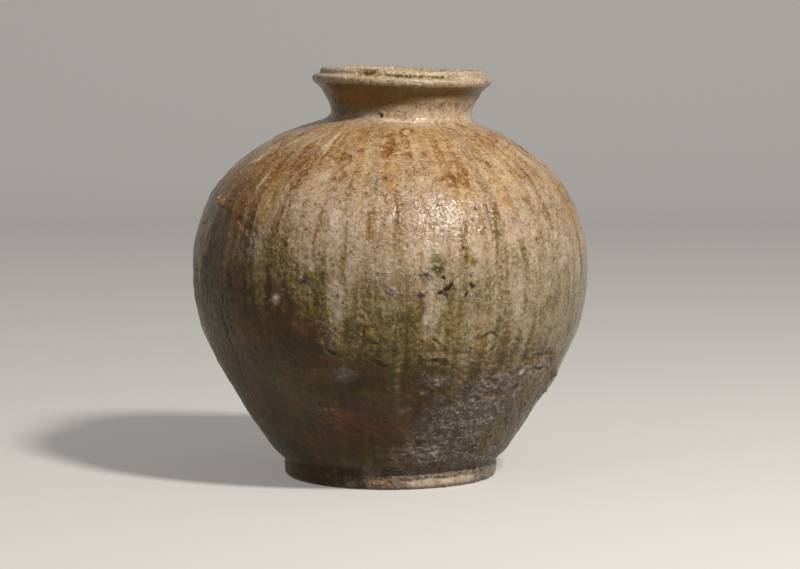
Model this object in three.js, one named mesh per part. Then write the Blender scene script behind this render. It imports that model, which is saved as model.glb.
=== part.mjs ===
// A wood-fired stoneware storage jar, built the way its potter builds it: a beaten floor disc, a foot coil round it,
// four stages of coiled wall, a collar and a double-lipped rim band. Each stage seats on the one below in a bevelled
// lap, and the whole pot then leans, dents and ripples as soft clay does. Millimetres, +Z up, front towards -Y.
import * as THREE from "three";

// Driving dimensions
const segments = 60;
const floorRadius = 88;
const floorTop = 15;
const floorRecess = 2; // the floor dries hollow, so the jar stands on its foot coil
const footRadius = 104.4;
const footContactRadius = 98.5;
const footHeight = 17;
const bellyRadius = 192.3;
const bellyHeight = 205;
const neckRadius = 68.4;
const neckHeight = 356;
const lipRadius = 87.4;
const lipHeight = 388.5;
const crestHeight = 398;
const slipGap = 0.4; // measured up the wall, between a stage and the next
const lapLength = 10; // how far a stage reaches down inside the one below
const neckShift = 11; // the neck was set a little to the right of the belly's axis
const neckTilt = THREE.MathUtils.degToRad(1.6); // and its rim runs down to the right
const footGap = 0.35;

// The outside of the wall from the foot seam to the underside of the lip, as radius and height
const wallOutline = new THREE.CatmullRomCurve3(
  [
    [footRadius - 0.4, footHeight],
    [112.8, 25],
    [124.4, 41],
    [138.2, 62],
    [155, 90],
    [170.2, 117],
    [185.6, 152],
    [bellyRadius, bellyHeight],
    [189.6, 236],
    [177, 271],
    [156, 300],
    [128.5, 322],
    [107, 335],
    [85.5, 344.2],
    [73.5, 348.6],
    [neckRadius + 0.6, 352.6],
    [neckRadius, neckHeight],
    [70.4, 364],
    [74.2, 371],
    [77.6, 377],
  ].map(([radius, height]) => new THREE.Vector3(radius, 0, height)),
  false,
  "centripetal",
);
wallOutline.arcLengthDivisions = 600;

// Wall thickness against height: stout at the foot, finer towards the neck
const thicknessAtHeight = [
  [footHeight, 13.5],
  [90, 11.5],
  [bellyHeight, 10],
  [300, 9.5],
  [neckHeight, 9],
  [crestHeight, 8.5],
];

// Outer seam heights of the stages, from the foot to the lip
const seamHeights = [footHeight, 89, 141, 264, 346.5, 377];
const lapAtSeam = [0, lapLength, lapLength, lapLength, lapLength, 0];
const thumbRidge = { height: 1.8, halfWidth: 9 }; // clay smeared along the inside of each seam
const fingerRipple = { height: 0.8, pitch: 46 };

function interpolate(table, at) {
  for (let i = 1; i < table.length; i++) {
    const [low, from] = table[i - 1];
    const [high, to] = table[i];
    if (at <= high) return THREE.MathUtils.mapLinear(Math.max(at, low), low, high, from, to);
  }
  return table[table.length - 1][1];
}

const wallLength = wallOutline.getLength();

// The distance up the outline at which it reaches a height, found by halving, because the outline only ever climbs
function distanceAtHeight(height) {
  let low = 0;
  let high = 1;
  for (let i = 0; i < 40; i++) {
    const middle = (low + high) / 2;
    if (wallOutline.getPointAt(middle).z < height) low = middle;
    else high = middle;
  }
  return low * wallLength;
}

const seams = seamHeights.map(distanceAtHeight);

function outerPoint(distance) {
  const point = wallOutline.getPointAt(THREE.MathUtils.clamp(distance / wallLength, 0, 1));
  return new THREE.Vector2(point.x, point.z);
}

function innerPoint(distance) {
  const at = THREE.MathUtils.clamp(distance / wallLength, 0, 1);
  const outside = outerPoint(distance);
  const along = wallOutline.getTangentAt(at);
  const inward = new THREE.Vector2(-along.z, along.x);
  let thickness = interpolate(thicknessAtHeight, outside.y);
  seams.slice(1, -1).forEach((seam, i) => {
    const offset = (distance - seam + lapAtSeam[i + 1]) / thumbRidge.halfWidth;
    thickness += thumbRidge.height * Math.exp(-offset * offset);
  });
  thickness += fingerRipple.height * Math.sin((2 * Math.PI * distance) / fingerRipple.pitch);
  return outside.addScaledVector(inward, thickness);
}

// Points along the wall from one distance to another, about one every step
function run(pointAt, from, to, step) {
  const count = Math.max(2, Math.round(Math.abs(to - from) / step));
  return Array.from({ length: count + 1 }, (_, i) => pointAt(from + ((to - from) * i) / count));
}

// One stage of the wall, between two seams: up the outside, over its bevelled top and down the inside
function stageProfile(index, outerStep, innerStep) {
  const outerFrom = seams[index] + slipGap / 2;
  const outerTo = seams[index + 1] - slipGap / 2;
  const innerFrom = outerTo - lapAtSeam[index + 1];
  const innerTo = outerFrom - lapAtSeam[index];
  return [...run(outerPoint, outerFrom, outerTo, outerStep), ...run(innerPoint, innerFrom, innerTo, innerStep)];
}

// The first stage of the wall has a toe that fills the corner between the foot coil and the floor disc
function lowerWallProfile() {
  const toeRadius = floorRadius + footGap;
  const outerFrom = slipGap / 2;
  const outerTo = seams[1] - slipGap / 2;
  const innerFrom = outerTo - lapAtSeam[1];
  return [
    ...run(outerPoint, outerFrom, outerTo, 11),
    ...run(innerPoint, innerFrom, 8, 12),
    new THREE.Vector2(toeRadius + 2.5, floorTop + 2.5),
    new THREE.Vector2(toeRadius, floorTop),
    new THREE.Vector2(toeRadius, floorTop - 4 + footGap),
  ];
}

function footCoilProfile() {
  const inner = floorRadius + footGap;
  const edge = footRadius - footContactRadius;
  const roundedEdge = [15, 45, 75].map((degrees) => {
    const angle = THREE.MathUtils.degToRad(degrees);
    return new THREE.Vector2(footContactRadius + edge * Math.sin(angle), edge * (1 - Math.cos(angle)));
  });
  return [
    new THREE.Vector2(inner, 0),
    new THREE.Vector2(footContactRadius, 0),
    ...roundedEdge,
    new THREE.Vector2(footRadius, 9),
    new THREE.Vector2(footRadius + 0.2, 13),
    new THREE.Vector2(footRadius - 0.7, footHeight - 0.2),
    new THREE.Vector2(inner, floorTop - 4),
  ];
}

function floorDiscProfile() {
  return [
    new THREE.Vector2(0, floorRecess),
    new THREE.Vector2(floorRadius - 6, floorRecess),
    new THREE.Vector2(floorRadius - 1, 0.6),
    new THREE.Vector2(floorRadius, 2.4),
    new THREE.Vector2(floorRadius, floorTop - 0.5),
    new THREE.Vector2(floorRadius - 4, floorTop),
    new THREE.Vector2(floorRadius * 0.62, floorTop - 1.2),
    new THREE.Vector2(floorRadius * 0.3, floorTop - 0.4),
    new THREE.Vector2(0, floorTop + 0.6),
  ];
}

// The rim band: a flange that stands out over the collar, a shallow gutter above it, and the crest of the mouth
function rimProfile() {
  const seat = outerPoint(wallLength);
  const collarInside = innerPoint(wallLength);
  const lift = slipGap;
  return [
    new THREE.Vector2(seat.x, seat.y + lift),
    new THREE.Vector2(lipRadius - 5.2, lipHeight - 7),
    new THREE.Vector2(lipRadius - 1, lipHeight - 3.6),
    new THREE.Vector2(lipRadius, lipHeight - 1),
    new THREE.Vector2(lipRadius - 0.5, lipHeight + 2),
    new THREE.Vector2(lipRadius - 3.6, lipHeight + 3.8),
    new THREE.Vector2(lipRadius - 7.2, lipHeight + 3.6),
    new THREE.Vector2(lipRadius - 8.4, lipHeight + 5.2),
    new THREE.Vector2(lipRadius - 9.4, crestHeight - 1.6),
    new THREE.Vector2(lipRadius - 11.6, crestHeight),
    new THREE.Vector2(lipRadius - 15.2, crestHeight - 1.2),
    new THREE.Vector2(lipRadius - 18.6, crestHeight - 6),
    new THREE.Vector2(collarInside.x + 1.2, collarInside.y + 8),
    new THREE.Vector2(collarInside.x, collarInside.y + lift),
  ];
}

// A push on the soft wall: where it is centred round the pot and up it, how far it spreads, and how far it moves the
// clay out (or in, where it is negative)
const pushes = [
  { name: "shoulder hollow", angle: 206, height: 238, width: 62, rise: 34, out: -4.2 },
  { name: "shoulder knot", angle: 208, height: 276, width: 30, rise: 14, out: 2.2 },
  { name: "scorched hollow", angle: 262, height: 62, width: 52, rise: 24, out: -4.5 },
  { name: "ledge over it", angle: 264, height: 94, width: 60, rise: 12, out: 2.6 },
  { name: "right flank", angle: 352, height: 96, width: 46, rise: 12, out: 2.6 },
  { name: "right waist", angle: 330, height: 66, width: 60, rise: 18, out: -2.6 },
  { name: "back paddle mark", angle: 98, height: 150, width: 80, rise: 50, out: -3 },
  { name: "back shoulder", angle: 40, height: 285, width: 60, rise: 30, out: -2.2 },
];
const ovality = 0.8; // the belly is this much wider across than it is deep
const rimRipple = { out: 0.7, up: 0.6 };

function pushAt(angle, height, radius) {
  return pushes.reduce((total, push) => {
    const turn = THREE.MathUtils.euclideanModulo(angle - THREE.MathUtils.degToRad(push.angle) + Math.PI, 2 * Math.PI);
    const across = ((turn - Math.PI) * radius) / push.width;
    const up = (height - push.height) / push.rise;
    return total + push.out * Math.exp(-across * across - up * up);
  }, 0);
}

// Moves every point of a thrown piece to where the clay slumped. It reads only a point's own place, so faces that
// meet across a seam move together.
function slump(geometry) {
  const position = geometry.getAttribute("position");
  for (let i = 0; i < position.count; i++) {
    const x = position.getX(i);
    const y = position.getY(i);
    const z = position.getZ(i);
    const radius = Math.hypot(x, y);
    const angle = Math.atan2(y, x);
    const body = THREE.MathUtils.smoothstep(z, 20, 60) * (1 - THREE.MathUtils.smoothstep(z, 318, 346));
    const neck = THREE.MathUtils.smoothstep(z, 318, 356);
    const rim = THREE.MathUtils.smoothstep(z, 376, 388);
    const foot = 1 - THREE.MathUtils.smoothstep(z, 17, 40);
    const inWall = THREE.MathUtils.smoothstep(radius, floorRadius + 1, floorRadius + 8);
    let out = pushAt(angle, z, radius) * (foot ? inWall * (1 - foot) : 1);
    out += body * ovality * Math.cos(2 * angle);
    out += foot * inWall * 0.7 * Math.sin(3 * angle + 0.6);
    out += rim * rimRipple.out * Math.sin(5 * angle + 1.1);
    const scale = radius > 0 ? (radius + out) / radius : 1;
    const shiftedX = x * scale;
    const shiftedY = y * scale;
    const up = rim * rimRipple.up * Math.sin(3 * angle + 2) - neck * Math.tan(neckTilt) * shiftedX;
    position.setXYZ(i, shiftedX + neck * neckShift, shiftedY, z + up);
  }
  return geometry;
}

// Throws a profile of radius and height round +Z, then lets it slump
function throwPiece(name, profile, colour, roughness, closed = true) {
  const points = closed ? [...profile, profile[0].clone()] : profile;
  const geometry = new THREE.LatheGeometry(points, segments);
  geometry.rotateX(Math.PI / 2);
  slump(geometry);
  geometry.computeVertexNormals();
  const material = new THREE.MeshStandardMaterial({ color: colour, roughness, metalness: 0 });
  const mesh = new THREE.Mesh(geometry, material);
  mesh.name = name;
  return mesh;
}

const jar = new THREE.Group();
jar.add(
  throwPiece("floor_disc", floorDiscProfile(), 0x9a7a5c, 0.9, false),
  throwPiece("foot_coil", footCoilProfile(), 0xa08670, 0.75),
  throwPiece("lower_wall", lowerWallProfile(), 0x84634a, 0.6),
  throwPiece("waist_wall", stageProfile(1, 12, 12), 0x8c7c60, 0.5),
  throwPiece("belly_wall", stageProfile(2, 13, 12), 0xa8957a, 0.42),
  throwPiece("shoulder_wall", stageProfile(3, 11, 13), 0xb0916c, 0.38),
  throwPiece("neck_collar", stageProfile(4, 5, 7), 0x9a835f, 0.4),
  throwPiece("rim_band", rimProfile(), 0xb5a284, 0.5),
);

export default jar;
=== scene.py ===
import math

import bpy
import numpy as np
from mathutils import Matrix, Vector, bvhtree, kdtree


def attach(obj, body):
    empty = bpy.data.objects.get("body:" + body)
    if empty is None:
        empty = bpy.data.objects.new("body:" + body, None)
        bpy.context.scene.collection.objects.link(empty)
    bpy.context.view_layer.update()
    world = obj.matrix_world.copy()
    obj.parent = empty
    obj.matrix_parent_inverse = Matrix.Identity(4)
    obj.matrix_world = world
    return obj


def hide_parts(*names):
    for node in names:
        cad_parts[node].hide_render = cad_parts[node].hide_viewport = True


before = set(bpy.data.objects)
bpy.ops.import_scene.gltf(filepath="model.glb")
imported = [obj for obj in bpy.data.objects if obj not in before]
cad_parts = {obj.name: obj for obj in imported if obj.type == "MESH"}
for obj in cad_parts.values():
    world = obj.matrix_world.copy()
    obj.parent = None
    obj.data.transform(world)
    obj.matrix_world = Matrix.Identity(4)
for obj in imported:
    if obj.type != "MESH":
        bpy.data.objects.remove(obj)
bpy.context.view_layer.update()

mm = 0.001


# The thrown form in millimetres, as radius and height, with the same figures as the solid model
jarForm = {
    "turns": 768,  # points round the pot
    "outerStep": 1.5,
    "innerStep": 7,
    "neckInsideStep": 2.2,
    "wall": [
        (104.0, 17), (112.8, 25), (124.4, 41), (138.2, 62), (155, 90), (170.2, 117), (185.6, 152),
        (192.3, 205), (189.6, 236), (177, 271), (156, 300), (128.5, 322), (107, 335), (85.5, 344.2),
        (73.5, 348.6), (69, 352.6), (68.4, 356), (70.4, 364), (74.2, 371), (77.6, 377),
    ],
    "thickness": [(17, 13.5), (90, 11.5), (205, 10), (300, 9.5), (356, 9), (398, 8.5)],
    "seams": [17, 89, 141, 264, 346.5, 377],  # where each stage of the wall starts, then the rim
    "underFloor": [(0, 2), (30, 2), (60, 2), (82, 2), (87, 0.8), (88.35, 0)],
    "foot": [
        (88.35, 0), (98.5, 0), (100.6, 0.35), (102.6, 1.6), (104, 3.9), (104.4, 9), (104.6, 13),
        (103.9, 16), (104.0, 17),
    ],
    "rim": [
        (77.6, 377), (82.2, 381.5), (86.2, 384.8), (87.4, 387.6), (87, 390.3), (83.8, 392.2), (80.2, 392.2),
        (79, 393.8), (78, 396.3), (75.8, 397.9), (72.2, 396.8), (69.2, 392.2), (68.9, 386.5),
    ],
    "floorTop": [
        (90.6, 17.4), (88.35, 15), (84, 14.9), (70, 14.3), (54, 13.8), (40, 14), (26, 14.6), (12, 15.2),
        (0, 15.6),
    ],
    "thumbRidge": {"height": 1.8, "halfWidth": 9, "below": 10},
    "fingerRipple": {"height": 0.8, "pitch": 46},
}


# A smooth line through the given points, with this many steps for each span
def curveThrough(points, perSpan):
    p = np.array(points, float)
    p = np.vstack([2 * p[0] - p[1], p, 2 * p[-1] - p[-2]])
    t = (np.arange(perSpan) / perSpan)[:, None]
    made = []
    for i in range(1, len(p) - 2):
        a, b, c, d = p[i - 1:i + 3]
        ab, bc, cd = (math.dist(*pair) ** 0.5 for pair in ((a, b), (b, c), (c, d)))
        leave = ((b - a) / ab - (c - a) / (ab + bc) + (c - b) / bc) * bc
        arrive = ((c - b) / bc - (d - b) / (bc + cd) + (d - c) / cd) * bc
        made.append(b * (2 * t**3 - 3 * t**2 + 1) + leave * (t**3 - 2 * t**2 + t)
                    + c * (3 * t**2 - 2 * t**3) + arrive * (t**3 - t**2))
    return np.vstack(made + [p[-2:-1]])


# 1 at no distance, falling off evenly on both sides
def bell(distance, width):
    return np.exp(-((distance / width) ** 2))


# The turn from one angle to another in degrees, from -180 to 180
def turnBetween(start, end):
    return (end - start + 180) % 360 - 180


def lengthsAlong(line):
    return np.concatenate([[0], np.cumsum(np.hypot(*np.diff(line, axis=0).T))])


def resample(line, step):
    along = lengthsAlong(line)
    at = np.linspace(0, along[-1], max(2, round(along[-1] / step)) + 1)
    return np.column_stack([np.interp(at, along, line[:, k]) for k in (0, 1)])


wallLine = curveThrough(jarForm["wall"], 60)
wallAlong = lengthsAlong(wallLine)
wallLength = wallAlong[-1]


# Distance up the wall from the foot, for a height
def distanceAt(height):
    return np.interp(height, wallLine[:, 1], wallAlong)


def outerWall(start, end, step):
    at = np.linspace(start, end, max(2, round(abs(end - start) / step)) + 1)
    return at, np.column_stack([np.interp(at, wallAlong, wallLine[:, k]) for k in (0, 1)])


def innerWall(start, end, step):
    at, outside = outerWall(start, end, step)
    slope = np.gradient(wallLine, wallAlong, axis=0)
    tangent = np.column_stack([np.interp(at, wallAlong, slope[:, k]) for k in (0, 1)])
    tangent /= np.hypot(*tangent.T)[:, None]
    thick = np.interp(outside[:, 1], *np.array(jarForm["thickness"], float).T)
    ridge, ripple = jarForm["thumbRidge"], jarForm["fingerRipple"]
    for seam in jarForm["seams"][1:-1]:
        away = at - distanceAt(seam) + ridge["below"]
        thick += ridge["height"] * bell(away, ridge["halfWidth"])
    thick += ripple["height"] * np.sin(2 * math.pi * at / ripple["pitch"])
    return outside + np.column_stack([-tangent[:, 1], tangent[:, 0]]) * thick[:, None]


# The whole profile from the middle of the underside, up the outside, over the rim and down to the middle of
# the floor. Each run belongs to one piece of clay, and neighbours share the ring where they meet.
def layOutProfile():
    seams = [distanceAt(h) for h in jarForm["seams"]]
    names = ["lower_wall", "waist_wall", "belly_wall", "shoulder_wall", "neck_collar"]
    runs = [("floor_disc", "under", resample(np.array(jarForm["underFloor"], float), 5))]
    runs.append(("foot_coil", "outside", resample(curveThrough(jarForm["foot"], 12), 1.3)))
    for i, name in enumerate(names):
        runs.append((name, "outside", outerWall(seams[i], seams[i + 1], jarForm["outerStep"])[1]))
    seat = innerWall(wallLength, wallLength - 1, 1)[0]
    runs.append(("rim_band", "rim", resample(curveThrough(jarForm["rim"] + [tuple(seat)], 16), 1.25)))
    for i, name in reversed(list(enumerate(names))):
        low = seams[i] if i else 8
        step = jarForm["neckInsideStep"] if name == "neck_collar" else jarForm["innerStep"]
        runs.append((name, "inside", innerWall(seams[i + 1], low, step)))
    floorTop = np.array(jarForm["floorTop"], float)
    runs[-1][2][-1] = floorTop[0]
    runs[-1] = ("lower_wall", "inside", np.vstack([runs[-1][2], floorTop[1:2]]))
    runs.append(("floor_disc", "inside", resample(floorTop[1:], 8)))
    points, owners, sides, ends = [runs[0][2][0]], [], [0], [0]
    for name, side, run in runs:
        points += list(run[1:])
        owners += [name] * (len(run) - 1)
        sides += [{"under": 0, "outside": 1, "rim": 2, "inside": 3}[side]] * (len(run) - 1)
        ends.append(len(points) - 1)
    return np.array(points), owners, np.array(sides), ends


profile, ringOwner, ringSide, runEnds = layOutProfile()
print("profile:", len(profile), "rings")


def setMode(mode):
    bpy.ops.object.mode_set(mode=mode)


def selectAll(action="SELECT"):
    bpy.ops.mesh.select_all(action=action)


def clearSelection():
    if bpy.context.object and bpy.context.object.mode != "OBJECT":
        setMode("OBJECT")
    bpy.ops.object.select_all(action="DESELECT")


# Selects these objects and no others, and makes the first of them the active one
def selectOnly(pieces):
    clearSelection()
    for piece in pieces:
        piece.select_set(True)
    bpy.context.view_layer.objects.active = pieces[0]


# Draws the profile as a chain of points and turns it round the axis
def throwJar():
    clearSelection()
    bpy.ops.mesh.primitive_circle_add(vertices=3, radius=0.01, location=(0, 0, 0))
    jar = bpy.context.object
    jar.name = "jar_body"
    setMode("EDIT")
    bpy.ops.mesh.select_mode(type="VERT")
    selectAll()
    bpy.ops.mesh.merge(type="CENTER")
    bpy.ops.transform.translate(value=(profile[0][0] * mm, 0, profile[0][1] * mm))
    for step in np.diff(profile, axis=0) * mm:
        bpy.ops.mesh.extrude_region_move(TRANSFORM_OT_translate={"value": (step[0], 0, step[1])})
    setMode("OBJECT")
    wheel = jar.modifiers.new("wheel", "SCREW")
    wheel.steps = wheel.render_steps = jarForm["turns"]
    wheel.use_merge_vertices = True
    wheel.merge_threshold = 0.00001
    bpy.ops.object.modifier_apply(modifier="wheel")
    setMode("EDIT")
    selectAll()
    bpy.ops.mesh.remove_doubles(threshold=0.00001)
    bpy.ops.mesh.normals_make_consistent(inside=False)
    setMode("OBJECT")
    bpy.ops.object.shade_smooth()
    return jar


jar = throwJar()
print("thrown:", len(jar.data.vertices), "points,", len(jar.data.polygons), "faces")

# Where every point of the pot lies: its ring, its angle round the pot and its place up the wall
thrown = np.empty(len(jar.data.vertices) * 3, np.float32)
jar.data.vertices.foreach_get("co", thrown)
thrown = thrown.reshape(-1, 3).astype(float) / mm
radius = np.hypot(thrown[:, 0], thrown[:, 1])
height = thrown[:, 2]
angle = np.degrees(np.arctan2(thrown[:, 1], thrown[:, 0])) % 360
ringTree = kdtree.KDTree(len(profile))
for i, (r, z) in enumerate(profile):
    ringTree.insert((r, z, 0), i)
ringTree.balance()
ring = np.array([ringTree.find((r, z, 0))[1] for r, z in zip(radius, height)])
side = ringSide[ring]
onWall, onRim, onInside, onUnder = (side == k for k in (1, 2, 3, 0))
profileTangent = np.gradient(profile, axis=0)
profileTangent /= np.hypot(*profileTangent.T)[:, None]
facing = np.column_stack([profileTangent[ring, 1], -profileTangent[ring, 0]])
outward = np.column_stack([thrown[:, 0], thrown[:, 1]]) / np.maximum(radius, 1e-6)[:, None]
perDegree = radius * math.pi / 180
along = distanceAt(np.clip(height, 17, 377))


# A smooth random field between -1 and 1, whose lumps are about one grain across
def lumps(points, grain, seed):
    spot = points / grain + seed * 17.31
    cell = np.floor(spot).astype(np.int64)
    part = spot - cell
    part = part * part * part * (part * (part * 6 - 15) + 10)
    total = np.zeros(len(points))
    for dx in (0, 1):
        for dy in (0, 1):
            for dz in (0, 1):
                mixed = (cell[:, 0] + dx) * 73856093
                mixed = mixed ^ ((cell[:, 1] + dy) * 19349663) ^ ((cell[:, 2] + dz) * 83492791)
                mixed = (mixed ^ (seed * 40503)) & 0xFFFFFFFF
                mixed = ((mixed ^ (mixed >> 15)) * 2246822519) & 0xFFFFFFFF
                mixed = ((mixed ^ (mixed >> 13)) * 3266489917) & 0xFFFFFFFF
                value = ((mixed ^ (mixed >> 16)) & 0xFFFF) / 32767.5 - 1
                weight = (np.where(dx, part[:, 0], 1 - part[:, 0]) * np.where(dy, part[:, 1], 1 - part[:, 1])
                          * np.where(dz, part[:, 2], 1 - part[:, 2]))
                total += value * weight
    return total


def fractal(points, grain, seed, octaves=3):
    keep = 0.5 ** np.arange(octaves)
    layers = [keep[k] * lumps(points, grain / 2**k, seed + k * 7) for k in range(octaves)]
    return sum(layers) / keep.sum() * 1.6


def smooth(value, low, high):
    t = np.clip((value - low) / (high - low), 0, 1)
    return t * t * (3 - 2 * t)


# The plain place, the place stretched down the wall for runs, and stretched round it for wrinkles
meridian = np.column_stack([outward * 150, along * 0.08])
girdle = np.column_stack([outward * 24, height])
broadNoise = fractal(thrown, 46, 3)
patchNoise = fractal(thrown, 17, 11)
smallNoise = fractal(thrown, 6, 23, 2)
tinyNoise = fractal(thrown, 3.6, 53, 2)
runNoise = fractal(meridian, 9, 31)
wrinkleNoise = fractal(girdle, 6, 41, 2)
nudge = np.column_stack([
    2.2 * lumps(thrown, 24, s) + 1.1 * lumps(thrown, 9, s + 1) + 0.35 * lumps(thrown, 4, s + 2)
    for s in (71, 81)
])
relief = np.zeros(len(thrown))
masks = {name: np.zeros(len(thrown)) for name in (
    "cover", "warm", "brown", "milk", "green", "yellow", "dark", "neck", "rust", "crust", "inside", "dusty")}
print("noises made")


def turnFrom(line):
    return turnBetween(line, angle) * perDegree


def byAngle(table):
    return np.interp(angle, *np.array(table, float).T)


def paint(name, near, amount):
    masks[name][near] = np.maximum(masks[name][near], amount)


# A soft oval on the wall with a ragged edge
def patch(at, width, rise, ragged=2.0):
    x = turnFrom(at[0]) + ragged * nudge[:, 0]
    y = along - distanceAt(at[1]) + ragged * nudge[:, 1]
    return np.exp(-((x / width) ** 2) - (y / rise) ** 2) * onWall


# The points near a drawn line of angles and heights, how far they are from it and how far along it they lie
def nearPath(path, reach, ragged):
    ups = [distanceAt(p[1]) for p in path]
    middle = path[len(path) // 2][0]
    spread = max(abs(turnBetween(middle, p[0])) for p in path)
    near = np.flatnonzero(onWall & (along > min(ups) - reach) & (along < max(ups) + reach)
                          & (np.abs(turnFrom(middle)) < spread * perDegree + reach))
    away = np.full(len(near), 1e9)
    progress = np.zeros(len(near))
    scale = perDegree[near]
    for k, ((a0, _), (a1, _)) in enumerate(zip(path, path[1:])):
        x = turnBetween(a0, angle[near]) * scale + ragged * nudge[near, 0]
        y = along[near] - ups[k] + ragged * nudge[near, 1]
        dx = turnBetween(a0, a1) * scale
        dy = ups[k + 1] - ups[k]
        t = np.clip((x * dx + y * dy) / np.maximum(dx * dx + dy * dy, 1e-6), 0, 1)
        here = np.hypot(x - t * dx, y - t * dy)
        progress = np.where(here < away, (k + t) / (len(path) - 1), progress)
        away = np.minimum(away, here)
    return near, away, progress


# Fly ash fell most on the right of the shoulder. By angle: how far down the thick ash reaches, and how far
# down the warm tan ash does. The marks after them lie at an angle, and fade out round the pot between two
# distances.
ashFall = {
    "thickTo": [
        (0, 140), (30, 160), (60, 178), (100, 196), (140, 214), (180, 244), (203, 264), (218, 252),
        (228, 238), (238, 222), (248, 206), (258, 192), (270, 174), (285, 158), (300, 144), (318, 132),
        (335, 128), (350, 136), (360, 140),
    ],
    "thickFade": 68,
    "warmTo": [
        (0, 215), (60, 240), (120, 250), (180, 225), (210, 235), (225, 246), (240, 268), (255, 284),
        (285, 290), (300, 286), (318, 272), (330, 250), (345, 215), (360, 215),
    ],
    "warmFade": 46,
    "thickRagged": {"broad": 14, "patch": 7, "run": 16},
    "warmRagged": {"broad": 10, "run": 22},
    "neckRoot": (343, 351),
    "brownShoulder": {"from": (268, 305), "to": (338, 347), "strength": 0.85},
    # The neck's cream rises highest round the side that faces the key lamp: partly ash, partly painted light
    "neckCreamLitSide": {"around": 318, "reach": 95, "low": 356, "rise": 17},
    "dustyFrom": (385.4, 386.4),
    "greenLine": {"at": 281, "fade": (46, 18), "height": 393.4, "width": 1.3, "strength": 1.1},
    "crestSpot": {"at": 247, "fade": (30, 0), "strength": 0.5},
    # Painted shade: brown on the neck under the lip, on the left
    "shadeUnderLip": {"at": 232, "fade": (62, 20), "strength": 0.6},
    "footWarm": {"at": 273, "fade": (46, 8), "strength": 1.2},
    "footMilk": {"at": 300, "fade": (70, 16), "strength": 0.85},
}


def raiseMask(name, values):
    masks[name] = np.maximum(masks[name], values)


# How strongly a mark of this setting shows round the pot
def roundPot(mark, shift=0):
    return mark["strength"] * smooth(np.abs(turnFrom(mark["at"]) + shift), *mark["fade"])


def layAsh():
    upHere = np.where(onWall, height, 380)
    ragged, warmRagged = ashFall["thickRagged"], ashFall["warmRagged"]
    wander = broadNoise * ragged["broad"] + patchNoise * ragged["patch"] + runNoise * ragged["run"]
    thick = upHere - byAngle(ashFall["thickTo"]) + wander
    masks["cover"] = smooth(thick, -ashFall["thickFade"], ashFall["thickFade"])
    warm = upHere - byAngle(ashFall["warmTo"])
    warm = warm + broadNoise * warmRagged["broad"] + runNoise * warmRagged["run"]
    warm = smooth(warm, -ashFall["warmFade"], ashFall["warmFade"])
    masks["warm"] = np.clip(warm * (0.86 + 0.3 * broadNoise + 0.3 * runNoise), 0, 1)
    masks["warm"] *= 1 - 0.9 * smooth(height, *ashFall["neckRoot"])
    band = ashFall["brownShoulder"]
    shoulder = smooth(height, *band["from"]) * (1 - smooth(height, *band["to"])) * onWall
    clouds = smooth(patchNoise + 0.5 * smallNoise + 0.4 * runNoise, 0.1, 0.9)
    masks["brown"] = band["strength"] * shoulder * clouds
    # The neck tone is olive-brown glaze and painted shade: it reaches up under the lip and lies low on the
    # side away from the key lamp; the cream rises highest on the side facing it, partly ash and partly
    # painted light
    cream = ashFall["neckCreamLitSide"]
    fromLight = np.abs(turnBetween(cream["around"], angle)) + 14 * patchNoise
    creamUpTo = cream["low"] + cream["rise"] * (1 - smooth(fromLight, 12, cream["reach"])) + 3 * patchNoise
    aboveCream = smooth(height, creamUpTo - 7, creamUpTo + 6)
    masks["neck"] = aboveCream * (1 - smooth(height, 383, 385)) * (onWall | onRim)
    masks["inside"] = np.where(onInside, 1 - smooth(height + patchNoise * 6, 336, 372), 0) + onUnder
    masks["cover"] = np.where(onInside | onUnder, smooth(height, 340, 376), masks["cover"])


# The sandy lip with its green line and olive spot, painted brown shade under it and the pale side of the
# foot
def layRimAndFoot():
    teeth = 1.1 * lumps(np.column_stack([outward * 87, height * 0.12]), 1.7, 64) + 0.6 * tinyNoise
    masks["dusty"] = smooth(height + teeth, *ashFall["dustyFrom"]) * (onRim | onWall)
    line = ashFall["greenLine"]
    onLine = bell(height - line["height"], line["width"]) * smooth(radius, 76, 78) * onRim
    raiseMask("green", onLine * roundPot(line))
    onCrest = onRim * smooth(height, 390, 394)
    raiseMask("yellow", onCrest * roundPot(ashFall["crestSpot"]) * (0.6 + patchNoise))
    # Painted shade: brown on the neck under the lip, on the left side away from the key lamp
    onUnderLip = smooth(height, 358, 372) * (1 - smooth(height, 382, 384)) * onWall
    raiseMask("brown", onUnderLip * roundPot(ashFall["shadeUnderLip"]))
    footSide = onWall * (1 - smooth(height + 2 * patchNoise, 8, 14))
    raiseMask("warm", footSide * roundPot(ashFall["footWarm"], 6 * patchNoise))
    raiseMask("milk", footSide * roundPot(ashFall["footMilk"]))


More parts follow.
